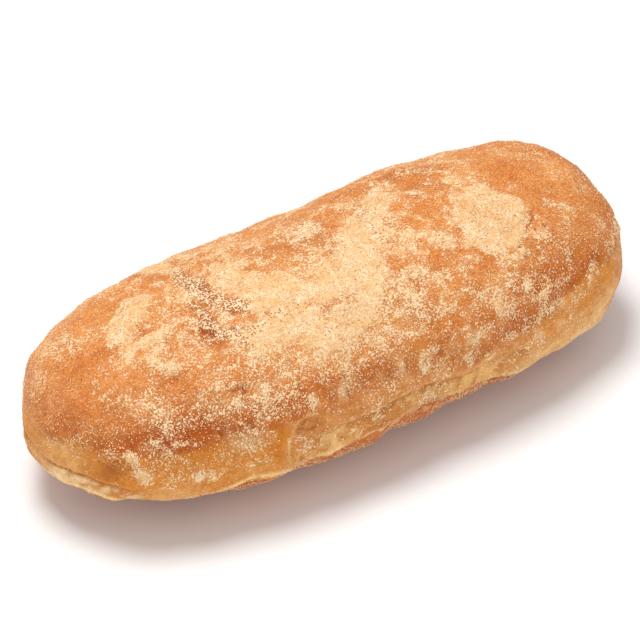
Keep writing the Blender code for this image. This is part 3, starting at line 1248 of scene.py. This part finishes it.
def makeSkin(grid, material):
    # four-sided faces between neighbouring rings, and a fan of triangles at each tip
    rings, columns = grid["points"].shape[:2]

    def pick(values):
        # the first and last ring are one point each
        table = values.reshape((rings, columns) + values.shape[1:])
        inner = table[1:-1].reshape((-1,) + table.shape[2:])
        return np.concatenate([table[:1, 0], inner, table[-1:, 0]])
    vertices = pick(grid["points"].reshape(-1, 3))
    column = np.arange(columns)
    nextColumn = (column + 1) % columns
    ring = 1 + columns * np.arange(rings - 3)[:, None]
    quads = np.stack([ring + column, ring + columns + column,
                      ring + columns + nextColumn, ring + nextColumn], axis=-1).reshape(-1, 4)
    last = 1 + columns * (rings - 3)
    end = np.full_like(column, len(vertices) - 1)
    startFan = np.stack([np.zeros_like(column), 1 + column, 1 + nextColumn], axis=1)
    endFan = np.stack([end, last + nextColumn, last + column], axis=1)
    faces = [face for part in (quads, startFan, endFan) for face in part[:, ::-1].tolist()]
    skin = meshObject("breadSkin", vertices, faces, material)
    for name in ("powder", "coarse", "haze", "doughToneAndShade"):
        addAttribute(skin.data, name, pick(grid[name]))
    return skin


# Materials

def newMaterial(name):
    # a new material, its node tree and its shader
    material = bpy.data.materials.new(name)
    material.use_nodes = True
    return material, material.node_tree, material.node_tree.nodes["Principled BSDF"]


def nodeColour(screen):
    # a colour as seen on screen, as the four numbers that a node takes
    return tuple(screenColour(*screen)) + (1.0,)


def addNode(tree, kind, inputs, **settings):
    # a node with its settings, each input either a value or another node's output
    node = tree.nodes.new(kind)
    for name, value in settings.items():
        setattr(node, name, value)
    for key, value in inputs.items():
        if isinstance(value, bpy.types.NodeSocket):
            tree.links.new(value, node.inputs[key])
        else:
            node.inputs[key].default_value = value
    return node


def meshValue(tree, name, output="Fac"):
    # an attribute that the mesh carries
    return addNode(tree, "ShaderNodeAttribute", {}, attribute_name=name).outputs[output]


def calculate(tree, operation, *values):
    # one step of arithmetic; MULTIPLY_ADD is first times second plus third
    return addNode(tree, "ShaderNodeMath", dict(enumerate(values)), operation=operation).outputs[0]


def stretch(tree, value, low, high):
    # maps low..high to 0..1, smoothly and clamped
    return addNode(tree, "ShaderNodeMapRange", {0: value, 1: low, 2: high, 3: 0.0, 4: 1.0},
                   interpolation_type="SMOOTHSTEP").outputs[0]


def blendColour(tree, share, first, second, mode="MIX"):
    # first where share is 0; second, or first times second, where it is 1
    return addNode(tree, "ShaderNodeMix", {0: share, 6: first, 7: second},
                   data_type="RGBA", blend_type=mode).outputs[2]


def blendNumber(tree, share, first, second):
    # first where share is 0, second where it is 1
    return addNode(tree, "ShaderNodeMix", {0: share, 2: first, 3: second},
                   data_type="FLOAT").outputs[0]


# the noises of the skin's material: cells in a metre, octaves, roughness and, where it is
# stretched, the two values that become 0 and 1
skinTextures = {
    "cloud": (1900.0, 2.0, 0.6, 0.28, 0.72),
    "patch": (330.0, 3.0, 0.6, 0.28, 0.72),
    "crust": (620.0, 4.0, 0.65, 0.25, 0.75),
    "crustDrift": (240.0, 3.0, 0.6, 0.3, 0.7),
    "pore": (1700.0, 2.0, 0.6, 0.30, 0.70),
    "haze": (2300.0, 2.0, 0.6, 0.45, 0.64),
    "net": (800.0, 4.0, 0.65),
    "sandDrift": (230.0, 5.0, 0.7, 0.36, 0.64),
    "sandGrain": (1300.0, 2.0, 0.6),
    "gather": (170.0, 3.0, 0.6, 0.50, 0.68),
}


def noiseAt(tree, place, kind):
    # the named noise as it comes, about a half in the middle
    scale, detail, roughness = skinTextures[kind][:3]
    inputs = {"Vector": place, "Scale": scale, "Detail": detail, "Roughness": roughness}
    return addNode(tree, "ShaderNodeTexNoise", inputs).outputs["Fac"]


def stretchedNoise(tree, place, kind):
    # the named noise, its two values stretched to 0 and 1
    return stretch(tree, noiseAt(tree, place, kind), *skinTextures[kind][3:])


def cellsAt(tree, place, scale):
    # each cell's own random value, and the distance from its middle
    cells = addNode(tree, "ShaderNodeTexVoronoi", {"Vector": place, "Scale": scale})
    draw = addNode(tree, "ShaderNodeSeparateColor", {0: cells.outputs["Color"]}).outputs[0]
    return draw, cells.outputs["Distance"]


# how cells and noise turn the powder's cover into grains and a film; Range is what becomes 0 and
# 1, and Shares is a factor and what is added to it
grainMask = {
    "fineScale": 2700.0,  # cells in a metre
    "coarseScale": 2150.0,
    "fineRange": (0.14, 0.86),
    "pepper": 0.55,  # the share of a coarse cell's shape against its random value
    "pepperRange": (0.80, 0.20),
    "edgeRange": (-0.05, 0.16),
    "coarseEdgeRange": (0.0, 0.08),
    "thinRange": (0.15, 0.75),  # thin powder lets a little crust through
    "thinShares": (0.20, 0.80),
    "filmRange": (-0.30, 0.50),
    "filmShares": (-0.65, 0.75),
}

# the crust: shares of its noises, tints that multiply its tone, and the flour's thin veil over it
crustFinish = {
    "noiseShare": 0.50,
    "driftShare": 0.22,
    "poreShare": 0.28,
    "tintDark": (0.66, 0.44, 0.26, 1.0),
    "tintPale": (1.14, 1.16, 1.20, 1.0),
    # darkens the bare crust in the coarse patches: partly deeper crust, partly painted shade between
    # the grains
    "coarseShadeTint": (0.72, 0.58, 0.46, 1.0),
    "coarseShadeShare": 0.80,
    "veil": (248, 188, 120),
    "film": (244, 190, 130),
    "veilShares": (0.50, 0.05),
    "veilHaze": 0.48,
    "veilNet": 0.28,
    "netRange": (0.055, 0.0),
}

# the powder's own colours, and the dark specks in it
powderFinish = {
    "light": (255, 235, 198),
    "warm": (248, 206, 150),
    "dark": (230, 166, 98),
    "darkShare": 0.55,
    "darkRange": (0.62, 0.30),
    "grit": (255, 226, 182),  # single grains, where the powder is thin
    "gritRange": (0.45, 0.8),
    "speck": (168, 90, 38),
    "speckScale": 1250.0,
    "speckRange": (0.36, 0.20),
    "speckShare": 0.92,
    "speckGrowth": -0.14,  # in the coarse patches the specks are larger
    "gatherShares": (0.55, 0.06),
    "gatherCoarse": 0.75,
}

# roughness, shine and bump of the two together
breadFinish = {
    "crustRoughness": 0.55,
    "powderRoughness": 0.95,
    "specular": 0.12,
    "grainHeight": 0.00016,  # in metres
    "bumpStrength": 0.9,
    "grainShares": (0.8, 0.4),
    "crustShare": 0.5,
}


def powderMask(tree, place, powder, coarse, fineDraw, patch):
    # a grain lies where its cell's random value, mixed with noise, is under the powder's cover,
    # and round it a film of finer flour fades in more softly
    coarseDraw, coarseGap = cellsAt(tree, place, grainMask["coarseScale"])
    uneven = blendNumber(tree, 0.5, stretchedNoise(tree, place, "cloud"), patch)
    fine = stretch(tree, blendNumber(tree, 0.5, fineDraw, uneven), *grainMask["fineRange"])
    roundness = stretch(tree, coarseGap, *grainMask["pepperRange"])
    pepper = blendNumber(tree, grainMask["pepper"], coarseDraw, roundness)
    over = calculate(tree, "SUBTRACT", powder, blendNumber(tree, coarse, fine, pepper))
    mask = stretch(tree, over, *grainMask["edgeRange"])
    thin = stretch(tree, powder, *grainMask["thinRange"])
    shown = calculate(tree, "MULTIPLY_ADD", thin, *grainMask["thinShares"])
    mask = calculate(tree, "MULTIPLY", mask, shown)
    mask = blendNumber(tree, coarse, mask, stretch(tree, over, *grainMask["coarseEdgeRange"]))
    film = calculate(tree, "SUBTRACT", powder, uneven)
    film = stretch(tree, film, *grainMask["filmRange"])
    filmShare = calculate(tree, "MULTIPLY_ADD", coarse, *grainMask["filmShares"])
    return mask, calculate(tree, "MULTIPLY", film, filmShare)


def crustColour(tree, place, powder, coarse, crustNoise, patch, film):
    # the mesh's own tone, darker and lighter at the scale of a pore, darker in the coarse patches,
    # partly their crust's deeper colour and partly painted shade between the grains, under a thin
    # veil of flour: a haze, the cover's patches and a net of fine lines
    drift = calculate(tree, "MULTIPLY", stretchedNoise(tree, place, "crustDrift"),
                      crustFinish["driftShare"])
    shade = calculate(tree, "MULTIPLY_ADD", crustNoise, crustFinish["noiseShare"], drift)
    shade = calculate(tree, "MULTIPLY_ADD", stretchedNoise(tree, place, "pore"),
                      crustFinish["poreShare"], shade)
    tint = blendColour(tree, shade, crustFinish["tintDark"], crustFinish["tintPale"])
    crust = blendColour(tree, 1.0, meshValue(tree, "doughToneAndShade", "Color"), tint, "MULTIPLY")
    shaded = blendColour(tree, 1.0, crust, crustFinish["coarseShadeTint"], "MULTIPLY")
    betweenGrainShade = calculate(tree, "MULTIPLY", coarse, coarse)
    betweenGrainShade = calculate(tree, "MULTIPLY", betweenGrainShade, crustFinish["coarseShadeShare"])
    crust = blendColour(tree, betweenGrainShade, crust, shaded)

    veil = calculate(tree, "MULTIPLY", powder, patch)
    veil = calculate(tree, "MULTIPLY_ADD", veil, *crustFinish["veilShares"])
    veil = calculate(tree, "MULTIPLY_ADD", stretchedNoise(tree, place, "haze"),
                     crustFinish["veilHaze"], veil)
    net = calculate(tree, "SUBTRACT", noiseAt(tree, place, "net"), 0.5)
    net = stretch(tree, calculate(tree, "ABSOLUTE", net), *crustFinish["netRange"])
    veil = calculate(tree, "MULTIPLY_ADD", net, crustFinish["veilNet"], veil)
    veil = calculate(tree, "MULTIPLY", veil, meshValue(tree, "haze"))
    crust = blendColour(tree, veil, crust, nodeColour(crustFinish["veil"]))
    return blendColour(tree, film, crust, nodeColour(crustFinish["film"]))


def powderColour(tree, place, powder, coarse, fineDraw):
    # light to warm in slow drifts, with darker grains, and dark gaps between the grains: one in
    # each speck cell, only where a slow noise gathers them
    light, warm, dark, speckColour, grit = (
        nodeColour(powderFinish[name]) for name in ("light", "warm", "dark", "speck", "grit"))
    sand = blendColour(tree, stretchedNoise(tree, place, "sandDrift"), light, warm)
    grainy = blendNumber(tree, 0.5, fineDraw, noiseAt(tree, place, "sandGrain"))
    grainy = stretch(tree, grainy, *powderFinish["darkRange"])
    darkShare = calculate(tree, "MULTIPLY", grainy, powderFinish["darkShare"])
    sand = blendColour(tree, darkShare, sand, dark)

    speckDraw, speckGap = cellsAt(tree, place, powderFinish["speckScale"])
    gather = calculate(tree, "MULTIPLY_ADD", stretchedNoise(tree, place, "gather"),
                       *powderFinish["gatherShares"])
    gather = calculate(tree, "MULTIPLY_ADD", coarse, powderFinish["gatherCoarse"], gather)
    size = calculate(tree, "MULTIPLY_ADD", coarse, powderFinish["speckGrowth"], speckGap)
    speck = calculate(tree, "MULTIPLY", stretch(tree, size, *powderFinish["speckRange"]),
                      calculate(tree, "LESS_THAN", speckDraw, gather))
    speck = calculate(tree, "MULTIPLY", speck, powderFinish["speckShare"])
    sand = blendColour(tree, speck, sand, speckColour)
    return blendColour(tree, stretch(tree, powder, *powderFinish["gritRange"]), grit, sand)


def breadMaterial():
    # powder over crust by the mask, which also makes it rougher and raises each grain
    material, tree, shader = newMaterial("friedCrustWithKinako")
    place = addNode(tree, "ShaderNodeTexCoord", {}).outputs["Object"]
    powder, coarse = meshValue(tree, "powder"), meshValue(tree, "coarse")
    fineDraw = cellsAt(tree, place, grainMask["fineScale"])[0]
    patch = stretchedNoise(tree, place, "patch")
    crustNoise = stretchedNoise(tree, place, "crust")
    mask, film = powderMask(tree, place, powder, coarse, fineDraw, patch)
    crust = crustColour(tree, place, powder, coarse, crustNoise, patch, film)
    sand = powderColour(tree, place, powder, coarse, fineDraw)
    tree.links.new(blendColour(tree, mask, crust, sand), shader.inputs["Base Color"])

    crustRoughness, powderRoughness = breadFinish["crustRoughness"], breadFinish["powderRoughness"]
    roughness = calculate(tree, "MULTIPLY_ADD", mask, powderRoughness - crustRoughness,
                          crustRoughness)
    tree.links.new(roughness, shader.inputs["Roughness"])
    lump = calculate(tree, "MULTIPLY_ADD", fineDraw, *breadFinish["grainShares"])
    lump = calculate(tree, "MULTIPLY", mask, lump)
    height = calculate(tree, "MULTIPLY_ADD", crustNoise, breadFinish["crustShare"], lump)
    bump = addNode(tree, "ShaderNodeBump", {"Strength": breadFinish["bumpStrength"],
                   "Distance": breadFinish["grainHeight"], "Height": height}).outputs["Normal"]
    tree.links.new(bump, shader.inputs["Normal"])
    shader.inputs["Specular IOR Level"].default_value = breadFinish["specular"]
    return material


grainFinishes = {
    "kinakoPowder": {
        "light": (255, 228, 184),
        "dark": (238, 186, 124),
        "roughness": 0.95,
        "specular": 0.2,
    },
    "sugarCrystals": {
        "light": (255, 238, 204),
        "dark": (248, 210, 156),
        "roughness": 0.4,
        "specular": 0.3,
    },
}


def grainMaterial(name):
    # from light to dark by each grain's own tone
    finish = grainFinishes[name]
    material, tree, shader = newMaterial(name)
    light, dark = nodeColour(finish["light"]), nodeColour(finish["dark"])
    colour = blendColour(tree, meshValue(tree, "tone"), light, dark)
    tree.links.new(colour, shader.inputs["Base Color"])
    shader.inputs["Roughness"].default_value = finish["roughness"]
    shader.inputs["Specular IOR Level"].default_value = finish["specular"]
    return material


# Loose grains scattered on the skin

# how many, size from and to, how far sunk, seed, and how much they favour thick powder
dustGrains = {"count": 22000, "size": (0.20, 0.42), "sunk": 0.25, "seed": 5, "favour": 0.8}
crumbGrains = {"count": 3600, "size": (0.34, 0.62), "sunk": 0.35, "seed": 6, "favour": 1.2}
sugarGrains = {"count": 15000, "size": (0.28, 0.46), "sunk": 0.25, "seed": 7, "favour": 0.65}

scatter = {
    "least": 0.015,  # a few grains lie on bare crust too
    "waistLoss": 0.5,
    "coarseLoss": 0.85,
    "heights": (3.0, 12.0),  # none under the first, all over the second
    "cornerMove": (0.65, 1.15),
    "sideScale": (0.7, 1.15),
    "blockHalf": 0.62,  # half the side of a sugar crystal's cube, for grains of size 2
    "lowest": 0.02,
}


def octahedron():
    # the ends of the three axes, joined by eight triangles
    vertices = np.array([(1, 0, 0), (-1, 0, 0), (0, 1, 0), (0, -1, 0), (0, 0, 1), (0, 0, -1)])
    faces = np.array([(0, 2, 4), (2, 1, 4), (1, 3, 4), (3, 0, 4),
                      (2, 0, 5), (1, 2, 5), (3, 1, 5), (0, 3, 5)])
    return vertices, faces


def icosahedron():
    # the corners of three golden rectangles, one across each axis, joined by twenty triangles
    golden = (1 + math.sqrt(5)) / 2
    vertices = np.array([(-1, golden, 0), (1, golden, 0), (-1, -golden, 0), (1, -golden, 0),
                         (0, -1, golden), (0, 1, golden), (0, -1, -golden), (0, 1, -golden),
                         (golden, 0, -1), (golden, 0, 1), (-golden, 0, -1), (-golden, 0, 1)])
    faces = np.array([(0, 11, 5), (0, 5, 1), (0, 1, 7), (0, 7, 10), (0, 10, 11),
                      (1, 5, 9), (5, 11, 4), (11, 10, 2), (10, 7, 6), (7, 1, 8),
                      (3, 9, 4), (3, 4, 2), (3, 2, 6), (3, 6, 8), (3, 8, 9),
                      (4, 9, 5), (2, 4, 11), (6, 2, 10), (8, 6, 7), (9, 8, 1)])
    return vertices / math.hypot(1, golden), faces


def crystalBlock():
    # a cube, for its corners to be moved
    vertices = np.array(list(np.ndindex(2, 2, 2)), float) * 2 - 1
    faces = np.array([(0, 1, 3, 2), (4, 6, 7, 5), (0, 4, 5, 1),
                      (2, 3, 7, 6), (0, 2, 6, 4), (1, 5, 7, 3)])
    return vertices * scatter["blockHalf"], faces


def turnMatrices(draw, count):
    # random turns: unit quaternions in random directions, each written out as a matrix
    quaternions = draw.normal(size=(count, 4))
    w, x, y, z = (quaternions / np.linalg.norm(quaternions, axis=1, keepdims=True)).T
    return np.stack([
        np.stack([1 - 2 * (y * y + z * z), 2 * (x * y - w * z), 2 * (x * z + w * y)], axis=-1),
        np.stack([2 * (x * y + w * z), 1 - 2 * (x * x + z * z), 2 * (y * z - w * x)], axis=-1),
        np.stack([2 * (x * z - w * y), 2 * (y * z + w * x), 1 - 2 * (x * x + y * y)], axis=-1),
    ], axis=1)


def grainWeight(grid):
    # the powder's cover, less of it on the waist, near the base and in the coarse patches
    weight = scatter["least"] + grid["powder"] * (1.0 - scatter["waistLoss"] * grid["band"])
    high = smoothStep(grid["points"][..., 2].ravel(), *scatter["heights"])
    weight = np.clip(weight, 0.0, 1.0) * high
    return weight * (1.0 - scatter["coarseLoss"] * grid["coarse"]**2)


def scatterOn(grid, weight, count, draw):
    # picks cells of the skin's grid by area times weight, and a random place within each
    points = grid["points"]
    down = points[1:, :] - points[:-1, :]
    across = np.roll(points, -1, axis=1) - points
    area = np.linalg.norm(np.cross(down, across[:-1]), axis=2)
    rings, columns = area.shape
    chance = (area * weight.reshape(points.shape[:2])[:-1]).ravel()
    cell = draw.choice(rings * columns, size=count, p=chance / chance.sum())
    ring, column = cell // columns, cell % columns
    u, v = draw.uniform(size=(2, count, 1))
    nextColumn = (column + 1) % columns

    def at(values):  # the blend of the cell's four corners
        start = values[ring, column] * (1 - v) + values[ring, nextColumn] * v
        end = values[ring + 1, column] * (1 - v) + values[ring + 1, nextColumn] * v
        return start * (1 - u) + end * u
    normal = at(grid["normals"])
    return at(points), normal / np.linalg.norm(normal, axis=1, keepdims=True)


def makeGrains(name, solid, settings, grid, weight, material):
    # each grain is the solid with its corners moved at random, stretched, turned, sized and set
    # on the skin, sunk by a share of its size
    draw = np.random.default_rng(settings["seed"])
    corners, faces = solid
    count = settings["count"]
    places, normals = scatterOn(grid, weight ** settings["favour"], count, draw)
    low, high = settings["size"]
    size = low + (high - low) * draw.uniform(size=(count, 1, 1)) ** 2
    shape = corners * draw.uniform(*scatter["cornerMove"], size=(count, len(corners), 1))
    turns = turnMatrices(draw, count)
    shape = shape * draw.uniform(*scatter["sideScale"], size=(count, 1, 3))
    shape = np.einsum("nij,nkj->nki", turns, shape)
    lift = (0.5 - settings["sunk"]) * size
    vertices = (places[:, None] + shape * size / 2 + normals[:, None] * lift).reshape(-1, 3)
    vertices[:, 2] = np.maximum(vertices[:, 2], scatter["lowest"])
    firstCorner = len(corners) * np.arange(count)[:, None, None]
    allFaces = (faces[None] + firstCorner).reshape(-1, faces.shape[1])
    piece = meshObject(name, vertices, allFaces.tolist(), material)
    piece.data.shade_flat()
    addAttribute(piece.data, "tone", np.repeat(draw.uniform(size=count), len(corners)))
    print(name, count, "grains", len(allFaces), "faces")
    return piece


# Floor, light and camera

studio = {
    "floorSize": 6.0,
    "floorDrop": 0.0002,
    "floorTone": 0.93,
    "floorRoughness": 0.9,
    "worldLight": 0.54,
}

# where each lamp is, its size and its watts
lamps = {
    "keyLight": ((-0.10, 0.32, 1.25), 0.6, 11.4),
    "fillLight": ((-0.40, -1.45, 0.50), 0.9, 4.4),
}

photoView = {
    "azimuth": -32.96,
    "elevation": 40.0,
    "distance": 1.5,
    "aim": (0.0, 0.0, 0.0235),
    "focalPixels": 5859.0,
    "frameWidth": 640.0,
    "middle": (324.2, 320.4),  # where the aim lands in the photo's frame
    "sensor": 36.0,
    "clipEnd": 20.0,
}


def makeFloor():
    # a pale matt square just under the bun
    mesh = bpy.data.meshes.new("studioFloor")
    half, drop = studio["floorSize"] / 2, -studio["floorDrop"]
    corners = [(-half, -half, drop), (half, -half, drop), (half, half, drop), (-half, half, drop)]
    mesh.from_pydata(corners, [], [(0, 1, 2, 3)])
    material, _, shader = newMaterial("paleFloor")
    shader.inputs["Base Color"].default_value = (studio["floorTone"],) * 3 + (1.0,)
    shader.inputs["Roughness"].default_value = studio["floorRoughness"]
    shader.inputs["Specular IOR Level"].default_value = 0.0
    mesh.materials.append(material)
    floor = bpy.data.objects.new("studioFloor", mesh)
    bpy.context.scene.collection.objects.link(floor)


def makeLamp(name, place, size, watts):
    # a round soft light at place, turned to face the bun
    light = bpy.data.lights.new(name, "AREA")
    light.shape = "DISK"
    light.size = size
    light.energy = watts
    lamp = bpy.data.objects.new(name, light)
    lamp.location = place
    away = np.array(place) - np.array(photoView["aim"])
    lamp.rotation_euler = (math.atan2(math.hypot(away[0], away[1]), away[2]), 0.0,
                           math.atan2(away[1], away[0]) + math.pi / 2)
    bpy.context.scene.collection.objects.link(lamp)


def makeLights():
    # even white light from all round, and the lamps
    world = bpy.data.worlds.new("studioWorld")
    world.use_nodes = True
    background = world.node_tree.nodes["Background"]
    background.inputs["Color"].default_value = (1.0, 1.0, 1.0, 1.0)
    background.inputs["Strength"].default_value = studio["worldLight"]
    bpy.context.scene.world = world
    for name, (place, size, watts) in lamps.items():
        makeLamp(name, place, size, watts)


def makeCamera():
    # at its distance from the aim, looking down its own back axis, then slid sideways so that
    # the aim lands at its place in the photo's frame
    turn, lift = math.radians(photoView["azimuth"]), math.radians(photoView["elevation"])
    level = math.cos(lift)
    back = np.array([math.sin(turn) * level, -math.cos(turn) * level, math.sin(lift)])
    right = np.array([math.cos(turn), math.sin(turn), 0.0])
    up = np.cross(back, right)
    width, distance = photoView["frameWidth"], photoView["distance"]
    perPixel = distance / photoView["focalPixels"]
    across, down = (value - width / 2 for value in photoView["middle"])
    place = np.array(photoView["aim"]) + back * distance
    place = place - right * across * perPixel + up * down * perPixel
    data = bpy.data.cameras.new("photoCamera")
    data.sensor_width = photoView["sensor"]
    data.lens = photoView["sensor"] * photoView["focalPixels"] / width
    data.clip_end = photoView["clipEnd"]
    camera = bpy.data.objects.new("photoCamera", data)
    rows = [[right[i], up[i], back[i], place[i]] for i in range(3)] + [[0.0, 0.0, 0.0, 1.0]]
    camera.matrix_world = Matrix(rows)
    bpy.context.scene.collection.objects.link(camera)
    bpy.context.scene.camera = camera


def main():
    # camera, floor and lights, then the skin, then the loose grains on it
    makeCamera()
    makeFloor()
    makeLights()
    bpy.context.scene.view_settings.view_transform = "Standard"
    print("camera, floor and lights made")
    grid = makeSkinGrid()
    print("skin worked out")
    skin = makeSkin(grid, breadMaterial())
    print("skin made,", len(skin.data.polygons), "faces")
    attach(skin, "root")
    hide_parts("fried_bread")

    weight = grainWeight(grid)
    powder, sugar = grainMaterial("kinakoPowder"), grainMaterial("sugarCrystals")
    pieces = [
        (makeGrains("kinakoDust", octahedron(), dustGrains, grid, weight, powder), "kinako_powder"),
        (makeGrains("kinakoCrumbs", icosahedron(), crumbGrains, grid, weight, powder), "kinako_powder"),
        (makeGrains("sugarGrains", crystalBlock(), sugarGrains, grid, weight, sugar), "sugar_crystals"),
    ]
    for piece, slot in pieces:
        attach(piece, "root")


main()
